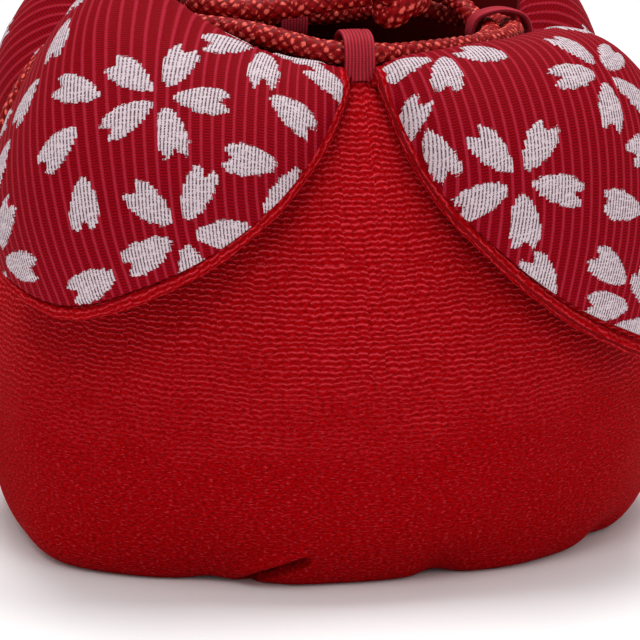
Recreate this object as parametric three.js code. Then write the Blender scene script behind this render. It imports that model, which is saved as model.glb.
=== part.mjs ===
// Kinchaku drawstring pouch: a soft crepe bag whose mouth opens into four folded-back petals.
// Millimetres, +Z up, origin at the centre of the base, front towards -Y.
// Azimuths are in degrees from +X towards +Y, so the front is -90.
import * as THREE from 'three';

// ---- driving sizes ----
const CLOTH_OUT = 1.1; // crepe face, measured from the middle of the folded cloth
const CLOTH_IN = 0; // back of the crepe
const LINER_OUT = 0.3; // back of lining and brocade
const LINER_IN = 1.0; // face of lining and brocade
const BELLY_R = 67;
const BASE_CORNER = 10; // how far inside the base corner the flat floor patch ends
const VALLEYS = [-80, 10, 100, 190]; // the notches between petals, where the loops sit
const QUARTER = 90;
const NOTCH = 5; // half-width of the petal-free strip at a notch, degrees
const FOLD_MIN = 1.5; // rise from the foot of the mouth fold to its crest, at a notch
const FOLD_MAX = 6; // the same under the middle of a petal
const RIM = [0.4, 1.4]; // at a notch the cloth ends in a short upright rim, outward and up

const CORD_R = 2.1;
const CORD_SIDES = 8;
const KNOT_R = 7.3;

const TAPE_WIDTH = 5.6;
const TAPE_THICK = 0.9;

// ---- colours ----
const CREPE = '#960514';
const LINING = '#540405';
const BROCADE = '#8e1420';
const TAPE = '#a92436';
const CORD = '#8c080d';

// ---- outlines: rows of [x, values...], read by a smooth curve through them ----
// radius of the base corner against azimuth: a soft square with a bulging front left corner
const BASE_OUTLINE = [
  [-180, 62], [-165, 63], [-152, 65], [-138, 67.5], [-124, 65], [-110, 60.5], [-89, 59.5], [-67, 58.5],
  [-42, 61.5], [-26, 62.5], [-3, 64], [20, 63], [45, 62], [70, 60], [95, 59], [120, 61], [145, 63],
  [165, 62.5], [180, 62],
];
// wall of the body as radius and height, at a notch and under the middle of a petal
const WALL_NOTCH = [[65.5, 14], [BELLY_R, 28], [65, 45], [59.5, 62], [52.5, 76], [46.5, 85.5]];
const WALL_PETAL = [[65.5, 14], [BELLY_R, 28], [65, 44], [60.5, 58], [54, 71], [46.5, 83]];
// petals by the azimuth of their first notch; each row is
// [azimuth, crest radius, crest height, edge radius, edge height, overhang, hang of the roll]
const NOTCH_ROW = [40.5, 92, 46.5, 88.8, 1, 0.45];
const PETALS = [
  { name: 'front_left', from: -170, rows: [
    [-165, ...NOTCH_ROW], [-158, 41, 94.4, 55, 81, 2, 0.5], [-151, 42.5, 104.2, 67, 68, 2, 0.5],
    [-142, 43.5, 108.6, 74, 58.4, 3, 0.55], [-132, 44.5, 107.2, 76.5, 53.2, 5, 0.7],
    [-125, 44, 104, 76, 52, 5, 0.75], [-119, 42.5, 101, 74, 54, 5, 0.8], [-108, 41, 96.5, 69, 60.6, 4, 0.75],
    [-98, 40.5, 94, 62, 70, 3, 0.65], [-90, 40.5, 93, 54, 80.5, 2, 0.55], [-85, ...NOTCH_ROW]] },
  { name: 'front_right', from: -80, rows: [
    [-75, ...NOTCH_ROW], [-70, 41, 93.8, 57.5, 74, 2, 0.7], [-61, 42, 95, 65.5, 61, 3, 0.85],
    [-52, 43, 96, 71, 51, 4, 0.95], [-43, 44, 96.5, 74, 44.5, 5, 1], [-35, 44, 97, 75, 41, 6, 1],
    [-26, 44, 97, 74, 43.5, 6, 1], [-17, 43, 96.5, 72, 51, 5, 0.9], [-8, 42, 95.5, 67, 63, 3, 0.75],
    [0, 41, 94, 57, 78, 2, 0.6], [5, ...NOTCH_ROW]] },
  { name: 'back_right', from: 10, rows: [
    [15, ...NOTCH_ROW], [22, 44, 100, 58, 78, 4, 0.7], [30, 47, 105, 66, 66, 7, 0.8],
    [42, 48, 109, 73, 56, 8, 0.85], [55, 46, 110, 74, 51, 8, 0.85], [68, 45, 108, 71, 56, 7, 0.8],
    [80, 43.5, 103, 65, 67, 5, 0.7], [88, 42, 98, 57, 79, 3, 0.6], [95, ...NOTCH_ROW]] },
  { name: 'back_left', from: 100, rows: [
    [105, ...NOTCH_ROW], [112, 42, 98, 57, 79, 3, 0.6], [120, 43.5, 103, 65, 67, 5, 0.7],
    [132, 45, 108, 71, 56, 7, 0.8], [145, 46, 110, 74, 51, 8, 0.85], [158, 46, 108, 71, 56, 8, 0.85],
    [168, 44.5, 103, 66, 66, 6, 0.8], [176, 42, 96, 58, 77, 3, 0.6], [181, 41, 93, 52, 83, 2, 0.5],
    [185, ...NOTCH_ROW]] },
];

// cord routes as [x, y, z]: A's ends come out at the left notch, B's lie in the mouth
const CORD_A_ROUTE = [
  [-75.6, -10.3, 9.9], [-71.5, -8.5, 20], [-70.6, -8.4, 34], [-69.6, -8.6, 48], [-66.4, -8.9, 62],
  [-61.5, -9.6, 76], [-55.5, -10.6, 87], [-47.5, -11.8, 95.2], [-39.3, -12.4, 97.4], [-31.2, -17, 98.7],
  [-24, -27, 99.4], [-12.5, -34, 98.6], [1.2, -38.1, 95.6], [6.7, -37.9, 95], [12, -36, 94.8],
  [21, -29.4, 94.8], [31.3, -17.8, 94.8], [36.4, -6, 94.8], [37.9, 1.4, 95], [37.9, 6.7, 95],
  [36.4, 12, 95.2], [30.4, 21.4, 95.6], [17.5, 31.5, 96.6], [6, 36.8, 95.6], [-1.2, 38.1, 95],
  [-6.7, 37.9, 95], [-12, 36, 95.4], [-21, 29.4, 96.4], [-31, 17.6, 96.8], [-37.2, 6.4, 96.4],
  [-41, -1.4, 97.4], [-48.2, -4.6, 95.2], [-55.8, -4.8, 87.4], [-61.6, -4.2, 76], [-66.6, -3.7, 62],
  [-69.9, -3.5, 48], [-71, -3.1, 34], [-72.4, -3.4, 20], [-77.2, -6, 11.4],
];
const CORD_B_ROUTE = [
  [10.2, -15.8, 105.2], [2, -8, 104.6], [-10, 4, 104], [-17.6, 11.6, 104], [-22.2, 19.8, 104],
  [-21.4, 28, 103.8], [-15.2, 33.8, 103.4], [-6.6, 36.4, 103], [2.6, 36.6, 103], [14, 33, 103],
  [22.6, 25.8, 102], [27.5, 18.4, 99.4], [31.3, 12.2, 96.1], [33.5, 6, 95], [33.2, 0.2, 94.4],
  [28.2, -14, 93.6], [19, -25, 93.6], [11, -31.2, 94.4], [5.9, -33.4, 95], [0.4, -33.4, 95.2],
  [-12, -29, 95.6], [-24.5, -20, 95.8], [-31.2, -11, 95.2], [-33.4, -5.9, 95], [-33.4, -0.4, 95],
  [-29, 12, 95.2], [-19, 25, 95], [-11, 31.4, 94.8], [-5.9, 33.4, 95], [-0.4, 33.4, 95.2],
  [7, 31.4, 96], [14.4, 27, 98], [19.4, 20.4, 100.6], [20.6, 12.4, 103.4], [17.4, 4.6, 106],
  [10, -0.6, 108.2], [1, -3.2, 109.1], [-7.4, -4.4, 108.8], [-15.2, -5.8, 107.4], [-21.4, -8.8, 105.8],
  [-24.4, -14.2, 104.4], [-23.6, -20, 103.2], [-19.4, -24.2, 102.4], [-13.4, -25.9, 102],
  [-4.6, -25.6, 102.6], [5.4, -24.4, 104.2],
];
const KNOT_A_PLACE = [-84.2, -12.2, 7.6];
const KNOT_B_PLACE = [14.6, -23.6, 104.8];
const KNOT_SQUASH = [1, 0.9, 0.95];

// ---- helpers ----
// smooth curve through the rows of a table, with slopes taken across each row's neighbours
function readTable(rows, x, periodic = false) {
  const last = rows.length - 1;
  const at = THREE.MathUtils.clamp(x, rows[0][0], rows[last][0]);
  let i = 0;
  while (i < last - 1 && rows[i + 1][0] <= at) i += 1;
  const step = rows[i + 1][0] - rows[i][0];
  const t = (at - rows[i][0]) / step;
  const slope = (row, column) => {
    let [before, after] = [Math.max(row - 1, 0), Math.min(row + 1, last)];
    let span = rows[after][0] - rows[before][0];
    if (periodic && (row === 0 || row === last)) {
      [before, after] = [last - 1, 1];
      span = rows[1][0] - rows[0][0] + rows[last][0] - rows[last - 1][0];
    }
    return (rows[after][column] - rows[before][column]) / span;
  };
  return rows[i].slice(1).map((value, index) => {
    const column = index + 1;
    return (2 * t ** 3 - 3 * t ** 2 + 1) * value
      + (t ** 3 - 2 * t ** 2 + t) * step * slope(i, column)
      + (3 * t ** 2 - 2 * t ** 3) * rows[i + 1][column]
      + (t ** 3 - t ** 2) * step * slope(i + 1, column);
  });
}

const wrapFrom = (azimuth, start) => THREE.MathUtils.euclideanModulo(azimuth - start, 360) + start;
const mix = THREE.MathUtils.lerp;

// 0 at a notch and 1 under the middle of a petal
function petalWeight(azimuth) {
  const turn = THREE.MathUtils.euclideanModulo(azimuth - VALLEYS[1], QUARTER) / QUARTER;
  return (Math.sin(Math.PI * turn) ** 2) ** 0.6;
}

function petalRow(azimuth) {
  const petal = PETALS.find(({ from }) => wrapFrom(azimuth, from) < from + QUARTER);
  const inside = THREE.MathUtils.clamp(
    wrapFrom(azimuth, petal.from), petal.from + NOTCH, petal.from + QUARTER - NOTCH);
  const [crestR, crestZ, edgeR, edgeZ, over, hang] = readTable(petal.rows, inside);
  return { crestR, crestZ, edgeR, edgeZ, over, hang };
}

// foot of the mouth fold, where the wall ends and the petal begins
function foldFoot(azimuth) {
  const w = petalWeight(azimuth);
  const { crestR, crestZ } = petalRow(azimuth);
  return [crestR - 0.2 - 0.6 * w, crestZ - mix(FOLD_MIN, FOLD_MAX, w)];
}

// knots of the body's section, from the middle of the base to the foot of the fold
function bodyKnots(azimuth) {
  const [corner] = readTable(BASE_OUTLINE, wrapFrom(azimuth, -180), true);
  const w = petalWeight(azimuth);
  const wall = WALL_NOTCH.map(([r, z], i) => [mix(r, WALL_PETAL[i][0], w), mix(z, WALL_PETAL[i][1], w)]);
  wall[0][0] = mix(wall[0][0], corner + 2.5, 0.55); // low on the wall the base's outline still shows
  wall[1][0] = mix(wall[1][0], corner + 4.5, 0.25);
  const flat = [[0, 0], [corner * 0.45, 0], [corner - BASE_CORNER, 0]];
  const base = [...flat, [corner - 4, 1.3], [corner - 0.3, 5.5]];
  return [...base, ...wall, foldFoot(azimuth)].map(([r, z]) => [r, Math.max(z, CLOTH_OUT)]);
}

// the petal's section: a roll over the crest, then a hang to the free edge; at a notch only a short rim
function petalPoint(azimuth, t) {
  const { crestZ, edgeR, edgeZ, over, hang } = petalRow(azimuth);
  const w = petalWeight(azimuth);
  const foot = foldFoot(azimuth);
  const drop = crestZ - edgeZ;
  const shoulderZ = edgeZ + hang * drop + 40 * Math.max(hang - 0.9, 0);
  const rise = (crestZ - foot[1]) + (0.14 * (crestZ - shoulderZ) + 0.016 * drop) / 0.42;
  const inner = [foot[0] - 0.8 - 1.2 * w, crestZ + rise];
  const outer = [edgeR + over, shoulderZ];
  const notch = Math.min(...VALLEYS.map((v) => Math.abs(wrapFrom(azimuth, v - 180) - v)));
  const open = THREE.MathUtils.smoothstep(notch, 1.2, NOTCH);
  return [0, 1].map((k) => {
    const rolled = foot[k] * (1 - t) ** 3 + 3 * inner[k] * t * (1 - t) ** 2
      + 3 * outer[k] * t * t * (1 - t) + [edgeR, edgeZ][k] * t ** 3;
    return mix(foot[k] + RIM[k] * t, rolled, open);
  });
}

// a section's rows: the body's knots, then these steps along the petal
const PETAL_STEPS = [0.06, 0.12, 0.14, 0.22, 0.34, 0.5, 0.66, 0.83, 0.96, 1];
const CLOTH_ROWS = [...Array(22).keys()];
const LINING_ROWS = [0, 3, 5, 7, 8, 9, 10, 11, 12, 13]; // up to the seam just past the crest
const FACING_ROWS = [14, 15, 16, 17, 18, 19, 20]; // from the seam to just inside the free edge

// the section's rows moved off the middle of the cloth, towards the inside for a positive offset
function section(azimuth, offset) {
  const knots = bodyKnots(azimuth);
  const line = [...knots, ...PETAL_STEPS.map((t) => petalPoint(azimuth, t))];
  return line.map(([r, z], i) => {
    const before = line[Math.max(i - 1, 0)];
    const after = line[Math.min(i + 1, line.length - 1)];
    let [dr, dz] = [after[0] - before[0], after[1] - before[1]];
    if (i === 0) [dr, dz] = [1, 0];
    const length = Math.hypot(dr, dz);
    return [Math.max(r - (dz / length) * offset, 0), Math.max(z + (dr / length) * offset, 0)];
  });
}

function placeRing([r, z], azimuth) {
  const turn = THREE.MathUtils.degToRad(azimuth);
  return new THREE.Vector3(r * Math.cos(turn), r * Math.sin(turn), z);
}

// a thick sheet between two offsets of the section, over the given azimuths and rows
function sheetGeometry(azimuths, rowList, offsets, round) {
  const columns = azimuths.length;
  const pole = rowList[0] === 0;
  const rows = rowList.length;
  const positions = [];
  const index = [];
  const ids = offsets.map((offset) => azimuths.map((azimuth) => {
    const line = section(azimuth, offset);
    return rowList.map((row) => {
      positions.push(...placeRing(line[row], azimuth).toArray());
      return positions.length / 3 - 1;
    });
  }));
  if (pole) ids.forEach((side) => side.forEach((column) => { column[0] = side[0][0]; }));
  const triangle = (a, b, c) => { if (a !== b && b !== c && c !== a) index.push(a, b, c); };
  const quad = (a, b, c, d) => { triangle(a, b, c); triangle(a, c, d); };
  const [outer, inner] = ids;
  const spans = round ? columns : columns - 1;
  for (let c = 0; c < spans; c += 1) {
    const n = (c + 1) % columns;
    for (let r = 0; r < rows - 1; r += 1) {
      quad(outer[c][r], outer[n][r], outer[n][r + 1], outer[c][r + 1]);
      quad(inner[c][r], inner[c][r + 1], inner[n][r + 1], inner[n][r]);
    }
    quad(outer[c][rows - 1], outer[n][rows - 1], inner[n][rows - 1], inner[c][rows - 1]);
    if (!pole) quad(inner[c][0], inner[n][0], outer[n][0], outer[c][0]);
  }
  if (!round) {
    const end = columns - 1;
    for (let r = 0; r < rows - 1; r += 1) {
      quad(outer[0][r], outer[0][r + 1], inner[0][r + 1], inner[0][r]);
      quad(inner[end][r], inner[end][r + 1], outer[end][r + 1], outer[end][r]);
    }
  }
  const used = [...new Set(index)];
  const slot = new Map(used.map((id, i) => [id, i]));
  const geometry = new THREE.BufferGeometry();
  geometry.setAttribute('position', new THREE.Float32BufferAttribute(
    used.flatMap((id) => positions.slice(3 * id, 3 * id + 3)), 3));
  geometry.setIndex(index.map((id) => slot.get(id)));
  geometry.computeVertexNormals();
  return geometry;
}

function cloth(color, roughness = 0.85) {
  return new THREE.MeshStandardMaterial({ color, roughness, metalness: 0, side: THREE.DoubleSide });
}

const pouch = new THREE.Group();

function add(name, geometry, material) {
  const mesh = new THREE.Mesh(geometry, material);
  mesh.name = name;
  pouch.add(mesh);
  return mesh;
}

// ---- cloth ----
const QUARTER_STEPS = [0, 2.5, 5, 9, 16, 24, 34, 45, 56, 66, 74, 81, 85, 87.5];
const ROUND = VALLEYS.flatMap((start) => QUARTER_STEPS.map((step) => start + step));

add('outer_cloth', sheetGeometry(ROUND, CLOTH_ROWS, [-CLOTH_OUT, -CLOTH_IN], true), cloth(CREPE));
add('lining', sheetGeometry(ROUND, LINING_ROWS, [LINER_OUT, LINER_IN], true), cloth(LINING, 0.7));
for (const { name, from } of PETALS) {
  const azimuths = QUARTER_STEPS.filter((step) => step >= NOTCH && step <= QUARTER - NOTCH)
    .map((step) => from + step);
  add(`petal_facing_${name}`, sheetGeometry(azimuths, FACING_ROWS, [LINER_OUT, LINER_IN], false),
    cloth(BROCADE, 0.7));
}

// ---- cord loops: a band of tape standing on the notch, bent over into the mouth ----
const TAPE_PATH = [
  [41.5, 92.3], [41.7, 95.4], [40.5, 97.8], [37.2, 98.9], [34, 98.7], [31.2, 97.5], [30.1, 94.9], [30.6, 92],
  [32.4, 90], [35.6, 88.8], [39.4, 88.2],
];

function tapeGeometry() {
  const sides = [1, -1].map((side) => TAPE_PATH.map(([r, z], i) => {
    const before = TAPE_PATH[Math.max(i - 1, 0)];
    const after = TAPE_PATH[Math.min(i + 1, TAPE_PATH.length - 1)];
    const along = new THREE.Vector2(after[0] - before[0], after[1] - before[1]).normalize();
    return new THREE.Vector2(r - along.y * side * TAPE_THICK / 2, z + along.x * side * TAPE_THICK / 2);
  }));
  const outline = new THREE.Shape([...sides[0], ...sides[1].reverse()]);
  const geometry = new THREE.ExtrudeGeometry(outline, { depth: TAPE_WIDTH, bevelEnabled: false });
  return geometry.translate(0, 0, -TAPE_WIDTH / 2).rotateX(Math.PI / 2);
}

['front', 'right', 'back', 'left'].forEach((place, i) => {
  const loop = add(`cord_loop_${place}`, tapeGeometry(), cloth(TAPE, 0.6));
  loop.rotation.z = THREE.MathUtils.degToRad(VALLEYS[i]);
});

// ---- cords and their knots ----
function cordGeometry(route, steps) {
  const sides = [...Array(CORD_SIDES).keys()].map((i) => {
    const turn = (2 * Math.PI * i) / CORD_SIDES;
    return new THREE.Vector2(CORD_R * Math.cos(turn), CORD_R * Math.sin(turn));
  });
  const extrudePath = new THREE.CatmullRomCurve3(route.map((point) => new THREE.Vector3(...point)));
  return new THREE.ExtrudeGeometry(new THREE.Shape(sides), { extrudePath, steps, bevelEnabled: false });
}

const KNOT_SEGMENTS = [12, 8];
function addKnot(name, place) {
  const knot = add(name, new THREE.SphereGeometry(KNOT_R, ...KNOT_SEGMENTS), cloth(CORD, 0.6));
  knot.position.set(...place);
  knot.scale.set(...KNOT_SQUASH);
}

const CORD_STEPS = 60;
add('drawcord_a', cordGeometry(CORD_A_ROUTE, CORD_STEPS), cloth(CORD, 0.6));
add('drawcord_b', cordGeometry(CORD_B_ROUTE, CORD_STEPS), cloth(CORD, 0.6));
addKnot('knot_a', KNOT_A_PLACE);
addKnot('knot_b', KNOT_B_PLACE);

export default pouch;
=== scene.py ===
"""Kinchaku drawstring pouch: crepe body, brocade petals, braided cords, tape loops and a studio stage.

Lengths in the tables are millimetres and azimuths are degrees from +X towards +Y, so the front is -90.
Every finished mesh is in metres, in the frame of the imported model.
"""
from functools import partialmethod
from math import cos, pi, radians, sin

import bpy
import numpy as np
from bpy.props import FloatProperty, FloatVectorProperty, PointerProperty
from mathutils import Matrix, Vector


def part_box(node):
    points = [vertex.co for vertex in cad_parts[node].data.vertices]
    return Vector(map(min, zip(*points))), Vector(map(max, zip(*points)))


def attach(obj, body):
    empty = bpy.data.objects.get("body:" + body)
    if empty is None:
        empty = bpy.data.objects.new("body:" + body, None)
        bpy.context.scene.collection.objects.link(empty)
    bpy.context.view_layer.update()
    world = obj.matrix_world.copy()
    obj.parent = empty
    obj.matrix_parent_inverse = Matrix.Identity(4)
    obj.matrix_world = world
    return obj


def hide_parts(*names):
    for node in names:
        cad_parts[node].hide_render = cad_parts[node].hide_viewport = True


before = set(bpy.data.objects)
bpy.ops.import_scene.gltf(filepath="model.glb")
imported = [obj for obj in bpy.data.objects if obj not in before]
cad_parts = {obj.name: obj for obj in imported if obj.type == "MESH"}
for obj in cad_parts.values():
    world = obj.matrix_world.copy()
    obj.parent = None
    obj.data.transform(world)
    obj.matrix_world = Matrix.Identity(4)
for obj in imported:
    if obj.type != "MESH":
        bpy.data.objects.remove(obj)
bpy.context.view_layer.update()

bl_info = {
    "name": "Kinchaku pouch",
    "version": (1, 0, 0),
    "blender": (4, 5, 0),
    "location": "3D View > Sidebar > Pouch",
    "description": "Builds a crepe and brocade drawstring pouch, piece by piece",
    "category": "Add Mesh",
}

MM = 0.001
FLOOR_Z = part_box("outer_cloth")[0][2]
BODY = "root"

# the cloth's layers, measured from the middle of the folded cloth towards the inside
CREPE_FACE, CREPE_BACK = -1.1, 0.0
LINER_BACK, LINER_FACE = 0.3, 1.0

# outlines: rows of (x, values...), read by a smooth curve through them
NOTCHES = (-80, 10, 100, 190)
QUARTER = 90
NOTCH_HALF = 5
FOLD_RISE = (1.5, 6.0)  # from the fold's foot to the crest, at a notch and under a petal
RIM = (0.4, 1.4)  # how far the short rim at a notch runs out and up
# a cubic's second, third and last controls weigh this much a quarter of the way along it
QUARTER_WEIGHTS = (0.42, 0.14, 0.016)
BASE_INSET = 10  # from the base's outline to where its flat part ends
BASE_OUTLINE = (
    (-180, 62), (-165, 63), (-152, 65), (-138, 67.5), (-124, 65), (-110, 60.5), (-89, 59.5), (-67, 58.5),
    (-42, 61.5), (-26, 62.5), (-3, 64), (20, 63), (45, 62), (70, 60), (95, 59), (120, 61), (145, 63),
    (165, 62.5), (180, 62),
)
BASE_SWELLS = (  # azimuth, half width in degrees, outward, lift
    (-111, 4, 0.3, 0.9), (-95, 5, 0.9, 0), (-67, 4, -1.2, 1.1), (-52, 7, 0.8, 0), (-28, 5, -0.9, 1.0),
    (-136, 9, 0.8, 0), (40, 6, -0.8, 0.8), (110, 7, -0.9, 0.9), (160, 6, -0.7, 0.8),
)
CREASE_START, CREASE_RUN = -106, 14.5  # azimuth where the tuck's crease starts, and how far round it runs
WALL_NOTCH = ((65.5, 14), (67, 28), (65, 45), (59.5, 62), (52.5, 76), (46.5, 85.5))
WALL_PETAL = ((65.5, 14), (67, 28), (65, 44), (60.5, 58), (54, 71), (46.5, 83))
NOTCH_ROW = (40.5, 92, 46.5, 88.8, 1, 0.45)
# each row: azimuth, crest radius, crest height, edge radius, edge height, overhang, hang of the roll
PETALS = {
    "front_left": (-170, (
        (-165, *NOTCH_ROW), (-158, 41, 94.4, 55, 81, 2, 0.5), (-151, 42.5, 104.2, 67, 68, 2, 0.5),
        (-142, 43.5, 108.6, 74, 58.4, 3, 0.55), (-132, 44.5, 107.2, 76.5, 53.2, 5, 0.7),
        (-125, 44, 104, 76, 52, 5, 0.75), (-119, 42.5, 101, 74, 54, 5, 0.8),
        (-108, 41, 96.5, 69, 60.6, 4, 0.75), (-98, 40.5, 94, 62, 70, 3, 0.65),
        (-90, 40.5, 93, 54, 80.5, 2, 0.55), (-85, *NOTCH_ROW))),
    "front_right": (-80, (
        (-75, *NOTCH_ROW), (-70, 41, 93.8, 57.5, 74, 2, 0.7), (-61, 42, 95, 65.5, 61, 3, 0.85),
        (-52, 43, 96, 71, 51, 4, 0.95), (-43, 44, 96.5, 74, 44.5, 5, 1), (-35, 44, 97, 75, 41, 6, 1),
        (-26, 44, 97, 74, 43.5, 6, 1), (-17, 43, 96.5, 72, 51, 5, 0.9), (-8, 42, 95.5, 67, 63, 3, 0.75),
        (0, 41, 94, 57, 78, 2, 0.6), (5, *NOTCH_ROW))),
    "back_right": (10, (
        (15, *NOTCH_ROW), (22, 44, 100, 58, 78, 4, 0.7), (30, 47, 105, 66, 66, 7, 0.8),
        (42, 48, 109, 73, 56, 8, 0.85), (55, 46, 110, 74, 51, 8, 0.85), (68, 45, 108, 71, 56, 7, 0.8),
        (80, 43.5, 103, 65, 67, 5, 0.7), (88, 42, 98, 57, 79, 3, 0.6), (95, *NOTCH_ROW))),
    "back_left": (100, (
        (105, *NOTCH_ROW), (112, 42, 98, 57, 79, 3, 0.6), (120, 43.5, 103, 65, 67, 5, 0.7),
        (132, 45, 108, 71, 56, 7, 0.8), (145, 46, 110, 74, 51, 8, 0.85), (158, 46, 108, 71, 56, 8, 0.85),
        (168, 44.5, 103, 66, 66, 6, 0.8), (176, 42, 96, 58, 77, 3, 0.6), (181, 41, 93, 52, 83, 2, 0.5),
        (185, *NOTCH_ROW))),
}
KNOT_STEPS = 11  # stretches of the body's section between its knots
SEAM_STEP = 0.14  # where the brocade starts along the petal, 0 at the fold's foot and 1 at the free edge
TAPE_THICK, TAPE_RIB = 0.9, 0.62
TAPE_PATH = (  # radius and height
    (41.9, 90.6), (41.6, 92.6), (41.7, 95.4), (40.5, 97.8), (37.2, 98.9), (34, 98.7), (31.2, 97.5),
    (30.1, 94.9), (30.6, 92), (32.4, 90), (35.6, 88.8), (39.4, 88.2),
)

# cords: the routes that their solids follow
CORD_A_ROUTE = (
    (-75.6, -10.3, 9.9), (-71.5, -8.5, 20), (-70.6, -8.4, 34), (-69.6, -8.6, 48), (-66.4, -8.9, 62),
    (-61.5, -9.6, 76), (-55.5, -10.6, 87), (-47.5, -11.8, 95.2), (-39.3, -12.4, 97.4), (-31.2, -17, 98.7),
    (-24, -27, 99.4), (-12.5, -34, 98.6), (1.2, -38.1, 95.6), (6.7, -37.9, 95), (12, -36, 94.8),
    (21, -29.4, 94.8), (31.3, -17.8, 94.8), (36.4, -6, 94.8), (37.9, 1.4, 95), (37.9, 6.7, 95),
    (36.4, 12, 95.2), (30.4, 21.4, 95.6), (17.5, 31.5, 96.6), (6, 36.8, 95.6), (-1.2, 38.1, 95),
    (-6.7, 37.9, 95), (-12, 36, 95.4), (-21, 29.4, 96.4), (-31, 17.6, 96.8), (-37.2, 6.4, 96.4),
    (-41, -1.4, 97.4), (-48.2, -4.6, 95.2), (-55.8, -4.8, 87.4), (-61.6, -4.2, 76), (-66.6, -3.7, 62),
    (-69.9, -3.5, 48), (-71, -3.1, 34), (-72.4, -3.4, 20), (-77.2, -6, 11.4),
)
CORD_B_ROUTE = (
    (10.2, -15.8, 105.2), (2, -8, 104.6), (-10, 4, 104), (-17.6, 11.6, 104), (-22.2, 19.8, 104),
    (-21.4, 28, 103.8), (-15.2, 33.8, 103.4), (-6.6, 36.4, 103), (2.6, 36.6, 103), (14, 33, 103),
    (22.6, 25.8, 102), (27.5, 18.4, 99.4), (31.3, 12.2, 96.1), (33.5, 6, 95), (33.2, 0.2, 94.4),
    (28.2, -14, 93.6), (19, -25, 93.6), (11, -31.2, 94.4), (5.9, -33.4, 95), (0.4, -33.4, 95.2),
    (-12, -29, 95.6), (-24.5, -20, 95.8), (-31.2, -11, 95.2), (-33.4, -5.9, 95), (-33.4, -0.4, 95),
    (-29, 12, 95.2), (-19, 25, 95), (-11, 31.4, 94.8), (-5.9, 33.4, 95), (-0.4, 33.4, 95.2),
    (7, 31.4, 96), (14.4, 27, 98), (19.4, 20.4, 100.6), (20.6, 12.4, 103.4), (17.4, 4.6, 106),
    (10, -0.6, 108.2), (1, -3.2, 109.1), (-7.4, -4.4, 108.8), (-15.2, -5.8, 107.4), (-21.4, -8.8, 105.8),
    (-24.4, -14.2, 104.4), (-23.6, -20, 103.2), (-19.4, -24.2, 102.4), (-13.4, -25.9, 102),
    (-4.6, -25.6, 102.6), (5.4, -24.4, 104.2),
)
KNOT_PLACES = {"a": (-83.6, -12, 6.3), "b": (14.2, -23.2, 104.8)}
KNOT_ENTRIES = {  # where a cord's two ends run into its knot
    "a": ((-78.4, -12, 7.6), (-80, -8, 8.2)),
    "b": ((12.6, -18.8, 105.4), (9.2, -24, 104.6)),
}
KNOT_TURNS = {"a": (0.35, -0.1), "b": (0.6, 0.1)}  # tilt and yaw, in radians
KNOT_SCALE = 1.9
KNOT_CORD = 0.98  # radius of a knot's cord, as a share of the drawcord's
BRAID_SIDES = 40
BRAID_STEP = 0.33
BRAID_COLUMNS = 6
BRAID_PITCH = 4.2
BRAID_VALLEY, BRAID_DOME = 0.34, 0.42  # depth between the strands, and height of the dome on each

# grain of the round cloths: the radius its arc is measured on, and the rim its rings start from
GRAIN_RADIUS = 60
GRAIN_RIM = 56
# the flat petal is a piece of a cone: its sides spread by this share of the turn round the pouch
CONE = 0.5
CONE_APEX = 84.0

# blossom motif: flat places on a petal as (across, down, turn in degrees)
FLOWERS = {
    "front_left": ((8.3, 16.8, 62), (16.9, 38.9, 22), (14.8, -2.6, 72), (-15.2, 45.9, 54), (-27, 20, 10)),
    "front_right": ((-23.4, 28.3, 65), (-2.2, 16.6, 42), (17, 36, 20), (23, 9, 55), (-2, 62, 10)),
    "back_right": ((-12, 20, 15), (12, 34, 50), (16, 6, 0), (-15, 49, 30)),
    "back_left": ((12, 18, 30), (-10, 36, 5), (-16, 6, 60), (14, 44, 20)),
}
SPRAYS = {
    "front_left": (
        (-3.4, 16.1, 175), (-3.5, 27, 114), (2.5, 37, 89), (22.7, 23.7, -152), (26.2, 12.1, 75),
        (30.6, 26.6, 165), (28.5, 2.2, -98), (4.2, 50.6, 166), (-10.5, 5.5, 65), (-13, 17.7, 97),
        (-16, 29, 85), (-12.5, -6, 72), (-22, 3, 120), (-24, 35, 20)),
    "front_right": (
        (-23.6, 5, 90), (-31.6, 9.2, -110), (-31.4, 17.6, 20), (-26.9, -0.8, 157), (-16.1, 3.3, -136),
        (-9.5, 40.1, -173), (-24.2, 46, -158), (-13.4, 49.8, -159), (-13.9, 56.7, 166), (-2, 31.4, 161),
        (2, 46, -106), (8, 2, 100), (30, 24, 60), (14, 20, -20), (24, 48, 130)),
    "back_right": ((-26, 30, 30), (27, 20, 80), (2, 48, 10), (0, 8, 140), (-26, 8, 60), (22, 46, 120)),
    "back_left": ((26, 30, -30), (-26, 20, 80), (2, 50, 0), (-1, 18, 40), (26, 6, 120), (-26, 46, 20)),
}
FLOAT_PICK, GROUND_PICK = 0.42, 0.52  # height of one step of the motif's edge, and of one cross tick
MOTIF_REACH = 18  # a motif marks no cloth farther than this from its middle, on the flat petal
BLOSSOM_WIDTH = 20.5
LEAF_HALF, LEAF_WIDE = 5.1, 2.95  # a leaf's half length and half width
LEAF_MIDDLE = 7.3  # from a blossom's middle to the middle of its leaf
RIB_TURN = {"front_left": 17, "front_right": -16, "back_right": 6, "back_left": -6}


# -------- numbers and curves
def mix(a, b, part):
    """Weighted mean: a at part 0 and b at part 1."""
    return a + (b - a) * part


def ease(x, low, high):
    """Smooth step: 0 up to low, 1 from high on, and 3t^2 - 2t^3 between them."""
    t = np.clip((x - low) / (high - low), 0, 1)
    return t * t * (3 - 2 * t)


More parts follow.
